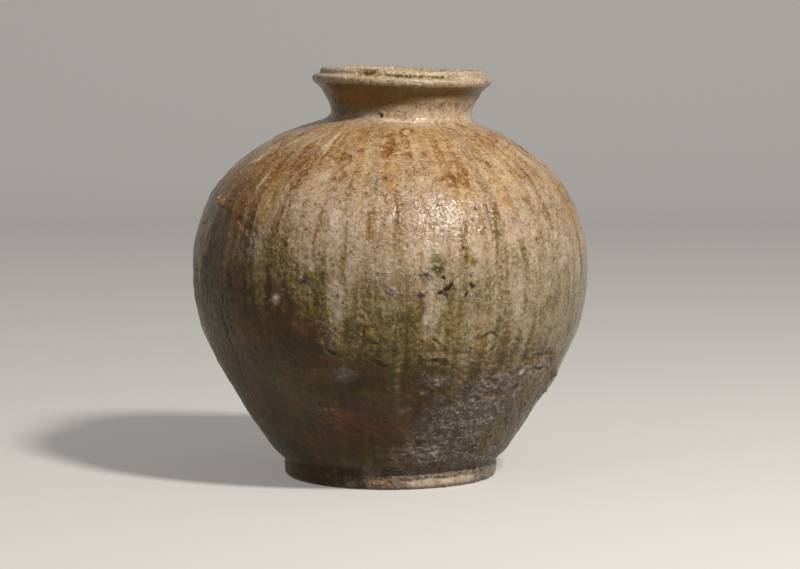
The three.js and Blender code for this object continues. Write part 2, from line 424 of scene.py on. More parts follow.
# Drawn marks of the firing: each kind with its relief, its stains and its paths of angles and heights. The
# number before a path is its half width.
strokes = {
    "paleCord": {
        "out": 0.8, "ragged": 0.5, "taper": 0.4, "uneven": 0.7, "masks": {"milk": 0.52},
        "paths": [
            (5.0, [(231, 344), (238, 335), (239, 326), (237, 315)]),
            (3.4, [(238, 330), (236, 314), (236, 305), (234, 290), (233, 272), (232, 258)]),
            (2.8, [(212, 343), (217, 334), (215, 327), (208, 317), (208, 306), (210, 299)]),
            (2.4, [(232, 341), (229, 337), (227, 331), (224, 324)]),
            (2.6, [(204, 336), (206, 318), (203, 300), (204, 286)]),
            (2.2, [(222, 322), (223, 306), (221, 290), (222, 274)]),
            (2.2, [(325, 345), (331, 334), (335, 320), (336, 300)]),
            (2.2, [(338, 334), (341, 312), (343, 284)]),
        ],
    },
    "brownRun": {
        "out": -0.25, "ragged": 0.8, "taper": 0.2, "uneven": 0.8, "masks": {"brown": 0.85},
        "paths": [
            (2.2, [(234, 345), (241, 336), (243, 325), (241, 315), (238, 304), (236, 287), (235, 267),
                   (234, 245)]),
            (4.6, [(223, 342), (230, 328), (230, 317), (231, 303), (230, 289), (230, 266)]),
            (3.6, [(194, 338), (209, 328), (215, 318), (215, 305), (214, 288)]),
            (3.6, [(182, 335), (190, 326), (197, 314), (197, 301), (195, 280)]),
            (3.2, [(218, 338), (222, 322), (219, 302), (219, 278)]),
            (2.0, [(243, 322), (248, 318), (250, 312)]),
            (2.2, [(295, 348), (304, 345), (310, 340), (312, 333), (315, 320)]),
            (2.2, [(312, 350), (322, 346), (329, 339), (333, 328), (334, 316)]),
            (2.0, [(336, 344), (340, 326), (342, 300)]),
            (2.0, [(276.5, 336), (277, 328), (278, 321), (280, 315)]),
        ],
    },
    "ochreRun": {
        "out": -0.1, "ragged": 0.8, "taper": 0.3, "uneven": 0.6, "masks": {"brown": 0.6},
        "paths": [
            (2.4, [(252, 323), (249, 316), (248, 308), (249, 299), (245, 292), (241, 286)]),
            (3.0, [(262, 319), (259, 313), (258, 303), (256, 288), (256, 269), (255, 248)]),
            (3.8, [(266, 292), (265, 273), (264, 259), (264, 236)]),
            (4.6, [(289, 336), (291, 325), (296, 316), (296, 307), (294, 297)]),
            (3.4, [(270, 340), (269, 326), (270, 312)]),
            (4.0, [(282, 320), (283, 306), (281, 292)]),
        ],
    },
    "tanBand": {
        "out": 0, "ragged": 0.6, "taper": 0.3, "uneven": 0.3, "masks": {"brown": 0.7},
        "paths": [
            (4.0, [(281, 308), (280, 268), (279, 236), (278, 208)]),
            (3.6, [(296, 304), (294, 272), (292, 245), (291, 226)]),
            (2.2, [(302, 292), (301, 262), (301, 236)]),
            (2.6, [(272, 300), (272, 262), (271, 232)]),
            (2.6, [(250, 288), (249, 256), (248, 226)]),
            (3.4, [(278, 206), (278, 186), (278, 166)]),
            (2.6, [(287, 250), (287, 226)]),
        ],
    },
    "yellowBand": {
        "out": 0, "ragged": 0.8, "taper": 0.25, "uneven": 0.6, "masks": {"yellow": 0.44},
        "paths": [
            (3.0, [(306, 286), (303, 258), (301, 234), (300, 208)]),
            (3.0, [(319, 280), (315, 250), (313, 226), (312, 192)]),
            (3.2, [(331, 266), (328, 240), (326, 212)]),
            (3.6, [(293, 246), (293, 232), (292, 216)]),
            (2.8, [(341, 254), (342, 222), (343, 186)]),
            (3.2, [(258, 246), (257, 226), (258, 204)]),
        ],
    },
    "greenRun": {
        "out": 0.5, "ragged": 0.7, "taper": 0.3, "uneven": 0.3, "masks": {"green": 0.8},
        "paths": [
            (4.4, [(276, 192), (276, 172), (276, 160), (277, 146), (278, 116)]),
            (4.8, [(271, 178), (271, 153), (272, 136), (271, 120), (272, 102), (272, 84)]),
            (4.0, [(286, 190), (285, 175), (284, 165), (283, 150)]),
            (3.8, [(272, 104), (272, 88), (273, 74), (273, 66)]),
        ],
    },
    "oliveRun": {
        "out": 0.2, "ragged": 1.0, "taper": 0.35, "uneven": 0.6, "masks": {"green": 0.66},
        "paths": [
            (3.8, [(265, 188), (265, 150), (264, 128)]),
            (4.0, [(294, 182), (293, 160), (292, 140)]),
            (4.0, [(303, 180), (302, 158), (301, 122)]),
            (5.0, [(256, 180), (259, 163), (258, 140), (260, 112)]),
            (4.0, [(220, 248), (221, 222), (220, 190)]),
            (4.0, [(228, 236), (228, 206), (227, 170)]),
            (3.6, [(249, 210), (249, 196), (250, 176)]),
            (3.6, [(310, 250), (311, 232), (310, 212)]),
            (3.6, [(322, 226), (323, 200), (322, 168)]),
            (3.6, [(332, 206), (333, 184), (332, 158)]),
        ],
    },
    "paleRun": {
        "out": 0.35, "ragged": 1.3, "taper": 0.4, "uneven": 0.6, "masks": {"milk": 0.5},
        "paths": [
            (4.2, [(281, 214), (281, 190), (280, 170), (280, 134)]),
            (2.8, [(257, 210), (256, 191), (256, 172)]),
            (3.0, [(261, 200), (261, 176), (261, 154)]),
            (2.8, [(268, 204), (268, 182), (268, 158)]),
            (2.6, [(289, 192), (289, 176), (288, 160)]),
            (2.6, [(298, 196), (298, 174), (297, 158)]),
            (2.4, [(262, 258), (261, 236), (261, 214)]),
        ],
    },
    "crack": {
        "out": -1.9, "lip": 0.35, "ragged": 2.2, "taper": 0.35, "uneven": 0.9,
        # The dark along a crack is painted shade in it; the green is glass pooled there
        "masks": {"dark": 0.5, "green": 0.5},
        "paths": [
            (1.5, [(281, 158), (283, 150), (284, 142)]),
            (1.5, [(295, 154), (298, 154), (300, 155), (304, 149)]),
            (1.3, [(302, 147), (302, 142), (300, 138)]),
            (1.3, [(314, 147), (310, 148), (307, 145), (306, 138)]),
            (2.2, [(281, 132), (285, 131), (289, 129)]),
            (1.4, [(300, 41), (305, 40), (310, 39)]),
            (1.4, [(252, 148), (254, 142), (257, 138)]),
            (1.2, [(320, 130), (325, 128), (330, 129)]),
            (1.2, [(322, 114), (327, 112), (332, 113)]),
            (1.4, [(264, 131), (267, 130), (270, 131)]),
        ],
    },
    "burntRun": {
        "out": -0.4, "ragged": 1.5, "taper": 0.2, "uneven": 0.5, "masks": {"dark": 1.1},
        "paths": [
            (2.6, [(284.6, 200), (286.6, 203.5), (289, 208)]),
            (1.8, [(292.4, 206), (293.4, 203), (294.6, 201)]),
        ],
    },
    "crease": {
        # The dark along a crease is painted shade in the fold
        "out": -1.0, "ragged": 0.8, "taper": 0.2, "uneven": 0.4, "masks": {"dark": 0.3},
        "paths": [
            (2.2, [(212, 188), (214, 154), (214, 124), (211, 101), (210, 68)]),
            (2.4, [(217, 263), (221, 253), (228, 246)]),
            (1.8, [(242, 168), (246, 169), (250, 171)]),
            (1.8, [(244, 204), (248, 203)]),
            (1.6, [(264, 151), (267, 150)]),
        ],
    },
}


def layStrokes(kinds):
    for kind in kinds.values():
        for width, path in kind["paths"]:
            near, away, progress = nearPath(path, width * 3 + 5, kind["ragged"])
            taper = smooth(progress, 0, kind["taper"]) * (1 - smooth(progress, 1 - kind["taper"], 1))
            body = bell(away, width * (0.45 + 0.55 * taper)) * (0.35 + 0.65 * taper)
            uneven = 1 + kind["uneven"] * (0.6 * patchNoise[near] + 0.6 * smallNoise[near])
            relief[near] += kind["out"] * body * np.clip(uneven, 0.3, 1.6)
            lip = bell(away - width * 1.9, width * 0.8) * taper
            relief[near] += kind.get("lip", 0) * lip
            for name, strength in kind["masks"].items():
                paint(name, near, strength * body * uneven)


# Small round marks: each kind with its depth, lip and stains, and its places as angle, height and radius
spots = {
    "pit": {
        "out": -0.6, "lip": 0.14, "masks": {"dark": (1.1, 0.62), "brown": (0.6, 1.8)},
        "places": [
            (297, 273, 1.8), (295, 263, 1.6), (285, 254, 1.7), (317, 242, 1.6), (254, 280, 1.8),
            (262, 287, 1.9), (269, 270, 1.5), (245, 254, 1.8), (288, 255, 1.2), (303, 292, 1.4),
            (275, 240, 1.3), (259, 236, 1.4), (331, 262, 1.6), (326, 232, 1.5), (303, 224, 1.4),
            (250, 232, 1.4),
        ],
    },
    "brownSpot": {
        "out": 0, "lip": 0.08, "masks": {"brown": (0.7, 1.6)},
        "places": [
            (314, 311, 2.4), (303, 292, 2.2), (309, 279, 2.6), (312, 268, 1.8), (290, 332, 2.8),
            (277, 345, 2.6), (270, 336, 2.4), (258, 330, 2.4), (284, 322, 2.2), (322, 300, 2.6),
            (326, 284, 2.4), (268, 300, 2.4), (288, 300, 3.0), (282, 304, 3.2), (276, 306, 2.6),
            (295, 303, 3.2), (307, 306, 2.8), (299, 318, 2.4), (265, 312, 2.2), (246, 330, 2.2),
            (253, 312, 2.0), (288, 282, 1.8), (300, 268, 1.6), (278, 276, 1.8),
        ],
    },
    "burntBlot": {
        "out": -0.3, "lip": 0.05, "ragged": 1.5, "masks": {"dark": (1.2, 0.9), "green": (0.35, 3.2)},
        "places": [
            (286, 213, 2.2), (284, 198, 2.8), (285.4, 195, 2.2), (292, 194, 2.4), (292.6, 209.5, 1.8),
            (293, 213, 1.3), (291, 218, 1.2),
        ],
    },
    "mauveBlot": {
        "out": -0.1, "lip": 0, "masks": {"dark": (0.75, 1.0), "crust": (0.7, 2.2)},
        "places": [
            (280, 214, 2.6), (278, 194, 2.6), (270, 200, 2.0),
        ],
    },
    "neckPit": {
        "out": -0.5, "lip": 0.1, "masks": {"dark": (1.1, 0.65), "brown": (0.5, 1.8)},
        "places": [
            (287, 374, 1.6), (321, 359, 1.5), (254, 355, 2.2), (262, 368, 1.3), (302, 366, 1.1),
            (252.4, 356.6, 1.4), (279, 352, 2.0),
        ],
    },
    "lump": {
        "out": 0.65, "lip": 0, "masks": {"yellow": (0.5, 1.2)},
        "places": [
            (247, 212, 4.5), (264, 157, 5.5), (247, 84, 4), (244, 86, 3), (205, 272, 6), (210, 269, 5),
            (201, 276, 4), (343, 106, 5), (344, 88, 4), (333, 128, 5), (318, 104, 4), (289, 71, 3),
            (236, 189, 3), (269, 206, 2.4), (256, 196, 2.6), (262, 178, 2.4), (305, 196, 2),
            (240, 240, 2.4), (313, 117, 3), (321, 97, 3),
        ],
    },
}


def laySpots(kinds):
    for kind in kinds.values():
        for at, up, size in kind["places"]:
            near, away, _ = nearPath([(at, up), (at + 0.2, up)], size * 5 + 3, kind.get("ragged", 0.45))
            relief[near] += kind["out"] * size * bell(away, size * 0.75)
            relief[near] += kind["lip"] * size * bell(away - size * 1.3, size * 0.5)
            for name, (strength, reach) in kind["masks"].items():
                shape = bell(away, size * reach) * (1 + 0.3 * smallNoise[near])
                paint(name, near, strength * shape)


# The ring-shaped crater under the neck, left by a drop from the kiln roof
crater = {
    "at": (275.7, 340), "radius": 6, "width": 1.8, "out": 1.8, "hollow": 1.2, "hollowWidth": 3, "clear": 9,
    "brown": 0.9, "dark": (0.8, 1.6),
}


def layCrater():
    up = 0.7 * (along - distanceAt(crater["at"][1]))
    away = np.hypot(turnFrom(crater["at"][0]), up) + 0.3 * nudge[:, 0]

    def within(distance):
        return bell(away, distance) * onWall

    edge = bell(away - crater["radius"], crater["width"]) * onWall
    relief[:] += crater["out"] * edge - crater["hollow"] * within(crater["hollowWidth"])
    masks["brown"] *= 1 - within(crater["clear"])
    raiseMask("brown", crater["brown"] * edge * (1 + 0.5 * smallNoise))
    darkness, darkWidth = crater["dark"]
    raiseMask("dark", darkness * within(darkWidth))


# Streams, stains and pits on the sides and back that the photograph doesn't show, drawn at random. Each set
# of marks has its kinds, taken in turn, and the two values between which each of its sizes lies.
hiddenSide = {
    "seed": 12, "from": 336, "to": 564,
    "paths": [
        {"kinds": ["paleCord"], "count": 26, "width": (1.8, 3), "top": (318, 343), "length": (30, 80),
         "drift": 1.4},
        {"kinds": ["ochreRun", "brownRun"], "count": 44, "width": (1.8, 3.8), "top": (310, 344),
         "length": (40, 110), "drift": 1.3},
        {"kinds": ["greenRun", "oliveRun", "oliveRun"], "count": 30, "width": (2.6, 5), "top": (150, 250),
         "length": (25, 80), "drift": 0.7},
    ],
    "pits": {"count": 70, "height": (110, 335), "radius": (1.2, 2)},
    "rust": {"count": 8, "height": (45, 140), "width": (20, 45), "rise": (12, 26), "strength": (0.5, 0.85)},
}


def layHiddenSide():
    random = np.random.default_rng(hiddenSide["seed"])
    first, last = hiddenSide["from"] + 10, hiddenSide["to"] - 8
    drawn = {}
    for marks in hiddenSide["paths"]:
        for k in range(marks["count"]):
            name = marks["kinds"][k % len(marks["kinds"])]
            width = random.uniform(*marks["width"])
            top = random.uniform(*marks["top"])
            step = random.uniform(*marks["length"]) / 4
            at = random.uniform(first, last) % 360
            drift = np.cumsum(random.normal(0, marks["drift"], 5))
            kind = drawn.setdefault(name, {**strokes[name], "paths": []})
            kind["paths"].append((width, [(at + d, top - step * n) for n, d in enumerate(drift)]))
    layStrokes(drawn)
    pits = hiddenSide["pits"]
    laySpots({"pit": {**spots["pit"], "places": [
        (random.uniform(first, last) % 360, random.uniform(*pits["height"]), random.uniform(*pits["radius"]))
        for _ in range(pits["count"])]}})
    rust = hiddenSide["rust"]
    for _ in range(rust["count"]):
        at = (random.uniform(first + 20, last - 10) % 360, random.uniform(*rust["height"]))
        shape = patch(at, random.uniform(*rust["width"]), random.uniform(*rust["rise"]), 3)
        raiseMask("rust", random.uniform(*rust["strength"]) * shape * (1 + 0.5 * patchNoise))


# Broad stains by mask: place, width, rise and strength
stains = {
    "rust": [
        ((260, 68), 38, 18, 1.0), ((248, 72), 28, 18, 0.95), ((272, 78), 20, 12, 0.8),
        ((221, 204), 20, 20, 0.8), ((238, 122), 16, 7, 0.4), ((244, 52), 26, 12, 0.7),
        ((242, 154), 10, 8, 0.3), ((283, 90), 12, 7, 0.55), ((205, 250), 12, 12, 0.5),
        ((249, 137), 9, 7, 0.35), ((237, 178), 10, 7, 0.35), ((231, 208), 10, 8, 0.35),
        ((258, 88), 30, 6, 0.7), ((237, 92), 14, 9, 0.5), ((234, 168), 9, 7, 0.3),
        ((216, 290), 40, 34, 0.6),
    ],
    "crust": [
        ((300, 72), 44, 30, 1.0), ((291, 44), 36, 18, 0.95), ((316, 58), 34, 26, 0.9),
        ((308, 104), 40, 18, 0.7), ((256, 118), 15, 8, 0.7), ((318, 34), 26, 14, 0.8),
        ((286, 112), 22, 9, 0.5), ((282, 28), 26, 6, 0.6), ((252, 160), 12, 8, 0.35),
        ((226, 240), 22, 20, 0.4), ((330, 120), 26, 14, 0.5), ((267, 206), 16, 14, 0.25),
        ((308, 15), 84, 14, 0.95),
    ],
    "yellow": [
        ((338, 98), 15, 15, 1.3), ((330, 86), 17, 15, 1.6), ((325, 70), 17, 15, 1.6),
        ((321, 54), 16, 13, 1.6), ((316, 40), 13, 10, 1.3), ((343, 66), 26, 34, 1.3),
        ((247, 176), 17, 7, 0.85), ((264, 157), 8, 7, 1.0), ((256, 153), 8, 12, 0.6),
        ((251, 222), 20, 14, 0.35), ((293, 225), 6, 8, 0.7), ((294, 146), 7, 4, 0.7),
        ((221, 218), 5, 9, 0.6), ((247, 211), 7, 6, 0.8), ((215, 130), 40, 60, 0.35),
        ((304, 200), 60, 30, 0.28), ((246, 121), 10, 6, 0.5), ((318, 176), 40, 20, 0.25),
    ],
    # Painted shade among the dark stains: on the left of the belly at 204 degrees, in thin bands under
    # ledges and folds and at and above the foot, under the lump at 245 degrees and in two small recesses
    # near 330 degrees; those beside the burnt blots are smudges in the glaze
    "dark": [
        ((330, 60), 20, 26, 0.42), ((204, 226), 34, 40, 0.4), ((279, 29), 26, 3.5, 0.35),
        ((328, 104), 7, 3, 0.6), ((337, 101), 6, 3, 0.6), ((245, 204), 6, 2.6, 0.7),
        ((267, 55), 18, 4, 0.3), ((246, 169), 12, 2.4, 0.5), ((236, 16), 44, 9, 0.4),
        ((287, 207), 14, 13, 0.4), ((284, 221), 11, 10, 0.5), ((260, 102), 40, 5, 0.34),
        ((252, 34), 34, 7, 0.3), ((257, 166), 10, 12, 0.24),
    ],
    # The brown stains on the left of the shoulder and belly, from 200 to 226 degrees, are partly brown glaze
    # and partly painted shade on the side away from the key lamp
    "brown": [
        ((212, 236), 30, 30, 0.6), ((318, 326), 34, 20, 0.6), ((300, 316), 50, 18, 0.3),
        ((262, 330), 50, 12, 0.2), ((332, 310), 40, 30, 0.42), ((226, 306), 46, 36, 1.0),
        ((216, 268), 34, 34, 0.9), ((288, 296), 22, 8, 0.4), ((200, 300), 40, 34, 0.7),
    ],
    "green": [
        ((284, 225), 10, 10, 1.0), ((280, 222), 7, 5, 0.45), ((292, 205), 10, 12, 0.5),
        ((301, 126), 5, 4, 0.8), ((302, 150), 6, 4, 0.8), ((311, 240), 6, 7, 0.45),
        ((296, 190), 50, 26, 0.34), ((270, 165), 60, 36, 0.4), ((318, 205), 50, 40, 0.33),
        ((252, 206), 34, 26, 0.36), ((285, 122), 60, 16, 0.4), ((236, 96), 44, 50, 0.42),
        ((258, 28), 40, 12, 0.5), ((210, 190), 40, 60, 0.4), ((254, 144), 8, 5, 0.8),
        ((340, 180), 40, 40, 0.25), ((268, 96), 26, 4, 0.6), ((274, 57), 12, 5, 0.7),
    ],
    # The small milk spots, most of them on lumps, are white crust and partly painted glints; the two bands
    # at the neck root are pooled milky glaze with a painted highlight
    "milk": [
        ((275, 84), 7, 4, 0.5), ((236, 188), 4, 5, 0.9), ((282, 100), 5, 5, 0.5), ((289, 71), 5, 5, 0.7),
        ((317, 116), 6, 6, 0.7), ((321, 97), 5, 8, 0.7), ((290, 40), 9, 5, 0.6), ((282, 236), 46, 26, 0.3),
        ((280, 352), 90, 4, 0.7), ((314, 356), 60, 7, 0.75), ((308, 292), 20, 14, 0.4),
        ((246, 300), 12, 14, 0.45), ((254, 268), 12, 14, 0.4),
    ],
}


def layStains():
    for name, places in stains.items():
        for at, width, rise, strength in places:
            raiseMask(name, patch(at, width, rise) * strength * (1 + 0.4 * patchNoise + 0.25 * smallNoise))
    masks["rust"] *= 1 - 0.8 * smooth(np.maximum(masks["green"], masks["milk"]), 0.4, 0.8)
    masks["crust"] *= 1 - 0.85 * smooth(masks["yellow"], 0.3, 0.8)


# Unevenness of the surface itself, in millimetres
grain = {
    "uneven": 0.6, "peel": 0.16, "tiny": 0.1, "wrinkle": 1.1, "crumb": 0.45, "lumpy": 0.8, "lipSand": 0.5,
    "footNick": 1.0, "crest": 1.2, "gutterFill": 0.5, "gutterRadius": 81.5, "gutterWidth": 2.4,
    "wrinkled": [((322, 126), 56, 22, 1), ((290, 134), 44, 16, 0.7), ((262, 112), 40, 18, 0.6)],
    "crumbly": {"crust": 1, "rust": 0.8, "yellow": 0.8, "green": 0.5},
}


def layGrain():
    relief[:] += grain["uneven"] * (0.7 * broadNoise + 0.55 * patchNoise) * onWall * smooth(height, 17, 30)
    orangePeel = grain["peel"] * smallNoise + grain["tiny"] * tinyNoise
    relief[:] += orangePeel * (onWall | onRim) * smooth(height, 8, 14)
    wrinkled = np.maximum.reduce([share * patch(*place) for *place, share in grain["wrinkled"]])
    relief[:] += grain["wrinkle"] * wrinkled * np.minimum(wrinkleNoise, 0.3)
    # Painted shade in the hollows of the wrinkles
    raiseMask("dark", 0.5 * wrinkled * smooth(-wrinkleNoise, 0.35, 0.8))
    crumbs = np.maximum.reduce([share * masks[name] for name, share in grain["crumbly"].items()])
    relief[:] += grain["crumb"] * np.clip(crumbs, 0, 1) * np.maximum(tinyNoise, -0.3) * onWall
    lumpy = np.clip(masks["crust"] + 0.3 * masks["yellow"], 0, 1)
    relief[:] += grain["lumpy"] * lumpy * smallNoise * onWall
    teeth = lumps(np.column_stack([outward * 87, height * 0.3]), 1.9, 61) + 0.6 * tinyNoise
    relief[:] -= grain["lipSand"] * smooth(height, 383, 386) * onRim * np.maximum(teeth, 0)
    footSide = onWall * smooth(height, 1, 6) * (1 - smooth(height, 19, 24))
    relief[:] -= grain["footNick"] * footSide * np.maximum(patchNoise + 0.4 * smallNoise - 0.1, 0)
    relief[:] += grain["crest"] * smooth(height, 392, 395.5) * onRim
    inGutter = bell(radius - grain["gutterRadius"], grain["gutterWidth"]) * smooth(height, 388, 391) * onRim
    leftSide = smooth(np.abs(turnBetween(205, angle)), 95, 40)
    relief[:] += grain["gutterFill"] * inGutter * (0.3 + 0.7 * leftSide)


layAsh()
layRimAndFoot()
layStrokes(strokes)
laySpots(spots)
layCrater()
layHiddenSide()
layStains()
layGrain()
print("relief laid: from", round(float(relief.min()), 2), "to", round(float(relief.max()), 2), "mm")

# The pot leans, dents and ripples as in the solid model
slump = {
    "ovality": 0.8, "neckShift": 11, "neckTilt": 1.6, "rimOut": 0.7, "rimUp": 0.6, "footOut": 0.7,
    "pushes": [  # where, how wide and tall, and how far out
        ((206, 238), 62, 34, -4.2), ((208, 276), 30, 14, 2.2), ((262, 62), 52, 24, -4.5),
        ((264, 94), 60, 12, 2.6), ((352, 96), 46, 12, 2.6), ((330, 66), 60, 18, -2.6),
        ((98, 150), 80, 50, -3), ((40, 285), 60, 30, -2.2),
    ],
}


def slumpJar():
    turn = np.radians(angle)
    body = smooth(height, 20, 60) * (1 - smooth(height, 318, 346))
    neck = smooth(height, 318, 356)
    rim = smooth(height, 376, 388)
    foot = 1 - smooth(height, 17, 40)
    inWall = smooth(radius, 89, 96)
    out = np.zeros(len(thrown))
    for (at, up), width, rise, push in slump["pushes"]:
        out += push * np.exp(-((turnFrom(at) / width) ** 2) - ((height - up) / rise) ** 2)
    out *= np.where(foot > 0, inWall * (1 - foot), 1)
    out += body * slump["ovality"] * np.cos(2 * turn)
    out += foot * inWall * slump["footOut"] * np.sin(3 * turn + 0.6)
    out += rim * slump["rimOut"] * np.sin(5 * turn + 1.1)
    flat = radius + out + relief * facing[:, 0]
    placed = np.column_stack([outward * flat[:, None], height + relief * facing[:, 1]])
    placed[:, 2] += rim * slump["rimUp"] * np.sin(3 * turn + 2)
    placed[:, 2] -= neck * math.tan(math.radians(slump["neckTilt"])) * placed[:, 0]
    placed[:, 0] += neck * slump["neckShift"]
    placed[:, 2] = np.maximum(placed[:, 2], 0)
    return placed


jar.data.vertices.foreach_set("co", (slumpJar() * mm).astype(np.float32).ravel())
jar.data.update()

maskLayers = {
    "ashMask": ("cover", "warm", "brown", "milk"),
    "glassMask": ("green", "yellow", "dark", "neck"),
    "clayMask": ("rust", "crust", "inside", "dusty"),
}
for layerName, channels in maskLayers.items():
    layer = jar.data.attributes.new(layerName, "FLOAT_COLOR", "POINT")
    values = np.column_stack([np.clip(masks[c], 0, 1) for c in channels]).astype(np.float32)
    layer.data.foreach_set("color", values.ravel())
print("masks stored")


# A colour given as the three numbers that a paint program shows, 0 to 255
def tint(red, green, blue):
    linear = [((c / 255 + 0.055) / 1.055) ** 2.4 if c > 10 else c / 3294.6 for c in (red, green, blue)]
    return (*linear, 1)


# Each finish as five colours, from its hollows to its crests
kilnTones = {
    "olive": [(44, 31, 9), (68, 50, 17), (90, 68, 28), (114, 89, 44), (158, 132, 84)],
    "umber": [(48, 29, 10), (79, 51, 20), (105, 72, 33), (131, 97, 52), (170, 138, 90)],
    "ochre": [(80, 60, 26), (120, 96, 50), (148, 123, 76), (176, 151, 104), (210, 191, 152)],
    "cream": [(146, 115, 82), (184, 154, 120), (202, 175, 145), (215, 192, 168), (234, 218, 201)],
    "warm": [(112, 74, 34), (158, 114, 60), (187, 147, 94), (209, 178, 131), (231, 209, 172)],
    # The neck tone is olive-brown glaze and partly painted shade under the lip and on the side away from the
    # key lamp
    "neck": [(60, 45, 19), (99, 77, 39), (134, 109, 66), (164, 139, 99), (204, 186, 150)],
    "crust": [(84, 70, 58), (116, 98, 84), (142, 123, 108), (168, 149, 134), (212, 197, 184)],
    "rust": [(54, 27, 8), (90, 49, 19), (122, 71, 32), (158, 103, 56), (202, 156, 106)],
    "dusty": [(98, 78, 48), (158, 132, 96), (199, 174, 142), (223, 203, 177), (243, 231, 214)],
    "brown": [(80, 46, 18), (120, 76, 34), (152, 104, 54), (180, 134, 82), (208, 174, 126)],
    "yellow": [(52, 38, 8), (86, 66, 16), (120, 96, 30), (156, 128, 54), (204, 178, 118)],
    "green": [(50, 44, 14), (80, 73, 25), (110, 101, 44), (144, 131, 74), (188, 174, 122)],
    "celadon": [(72, 62, 28), (112, 98, 52), (142, 127, 77), (170, 154, 106), (208, 194, 152)],
    "milk": [(170, 138, 104), (205, 177, 145), (222, 199, 171), (233, 213, 190), (243, 231, 214)],
    "mauve": [(120, 96, 84), (150, 126, 112), (172, 149, 135), (190, 170, 156), (216, 202, 190)],
    "inside": [(82, 60, 42), (108, 82, 60), (128, 100, 76), (146, 118, 92), (176, 152, 124)],
}
toneStops = (0.12, 0.35, 0.5, 0.65, 0.9)

# How each finish lies over the ones before it: the mask that places it, how much the grain and the streaks
# break its edge, the two levels between which it comes in, its roughness and how gritty it is
kilnLayers = {
    "ochre": {"mask": "cover", "edge": (0.5, 0.45), "levels": (-0.02, 0.36), "rough": 0.22, "grit": 0.5},
    "cream": {"mask": "cover", "edge": (0.35, 0.9), "levels": (0.4, 0.95), "rough": 0.2, "grit": 0.2},
    "warm": {"mask": "warm", "edge": (1.2, 0.7), "levels": (0.25, 0.95), "rough": 0.22, "grit": 0.1},
    "neck": {"mask": "neck", "edge": (0.3, 0.3), "levels": (0.1, 0.9), "rough": 0.26, "grit": 0},
    "crust": {"mask": "crust", "edge": (0.5, 0.1), "levels": (0.05, 0.6), "rough": 0.14, "grit": 1.0},
    "rust": {"mask": "rust", "edge": (0.5, 0.2), "levels": (0.15, 0.8), "rough": 0.36, "grit": 0.3},
    "dusty": {"mask": "dusty", "edge": (0.3, 0), "levels": (0.3, 0.7), "rough": 0.28, "grit": 0.4},
    "brown": {"mask": "brown", "edge": (-0.25, -0.2), "levels": (0.08, 0.95), "rough": 0.26, "grit": 0},
    "yellow": {"mask": "yellow", "edge": (-0.35, -0.3), "levels": (0.1, 0.75), "rough": 0.24, "grit": 0.5},
    "green": {"mask": "green", "edge": (-0.3, -0.3), "levels": (0.08, 0.85), "rough": 0.22, "grit": 0.4},
    "milk": {"mask": "milk", "edge": (0.35, 0.25), "levels": (0.1, 0.95), "rough": 0.2, "grit": 0.05},
    "inside": {"mask": "inside", "edge": (0.3, 0), "levels": (0.3, 0.7), "rough": 0.75, "grit": 0.5},
}

# The grain of the glaze. Sizes are in millimetres, "levels" are where in its noise an effect comes in, and
# "heights" are where on the pot it does. A first value above the second fades the effect out instead.
kilnGrain = {
    "fine": 1.5, "small": 4.2, "middle": 12, "broad": 40, "streaks": 4, "wideStreaks": 10,
    "streakGirth": 150.0, "streakPull": 0.07, "streakHeights": (350, 338), "neckCalm": -0.6,
    "umberLevels": (0.46, 0.6), "specular": 0.32, "bareRough": 0.4, "bareGrit": 0.25, "roughSpread": 0.5,
    "mauve": {"size": 7, "levels": (0.5, 0.72)},
    "honey": {"size": 9.5, "levels": (0.52, 0.8)},
    "veins": {"size": 17, "wide": 0.11, "bendSize": 14, "bend": 26.0, "pull": 0.35, "patches": (0.36, 0.56),
              "heights": (190, 290), "strength": 0.8},
    "glass": {"ragged": 80.0, "heights": (262, 160), "strength": 0.6},
    # The colour of the dark mask: burnt blots and runs, and painted shade in cracks, creases, wrinkles,
    # under ledges and on the shaded left
    "burntAndShade": {"levels": (0.2, 0.95), "colour": tint(48, 30, 14)},
    "freckles": {"cell": 6, "chosen": (0.7, 0.76), "edge": (0.2, 0.06), "strength": 0.7,
                 "colour": tint(104, 72, 38)},
    "specks": {"size": 2.4, "levels": (0.59, 0.71), "strength": 0.48, "colour": tint(90, 68, 40)},
    # Painted glints: pale flecks on the glassy ash and crust that stand in for sparkle of light
    "paintedGlints": {"levels": (0.42, 0.3), "strength": 0.5, "colour": tint(232, 216, 196)},
    "relief": {"small": 0.35, "smallOnGrit": 1.1, "fine": 0.22, "beads": 2.0, "beadSize": 4.6,
               "beadBlend": 0.4, "freckle": -0.25, "speck": -0.24, "burntAndShade": -0.25},
}


def addNode(tree, kind, inputs=(), **settings):
    made = tree.nodes.new("ShaderNode" + kind)
    for name, value in settings.items():
        setattr(made, name, value)
    for key, value in dict(inputs).items():
        if isinstance(value, bpy.types.NodeSocket):
            tree.links.new(value, made.inputs[key])
        else:
            made.inputs[key].default_value = value
    return made


def maths(tree, operation, *values):
    return addNode(tree, "Math", enumerate(values), operation=operation).outputs[0]


def times(tree, first, *others):
    for other in others:
        first = maths(tree, "MULTIPLY", first, other)
    return first


def scaled(tree, vector, by):
    return addNode(tree, "VectorMath", {0: vector, 3: by}, operation="SCALE").outputs[0]


def stretched(tree, vector, by):
    return addNode(tree, "VectorMath", {0: vector, 1: by}, operation="MULTIPLY").outputs[0]


def moved(tree, vector, by):
    return addNode(tree, "VectorMath", {0: vector, 1: by}, operation="ADD").outputs[0]


# Where a point lies on the object, in millimetres
def placeOnPot(tree):
    return scaled(tree, addNode(tree, "TexCoord").outputs["Object"], 1 / mm)


def noiseOf(tree, place, grainSize, detail, rough=0.55):
    inputs = {"Vector": place, "Scale": 1 / grainSize, "Detail": detail, "Roughness": rough}
    return addNode(tree, "TexNoise", inputs).outputs[0]


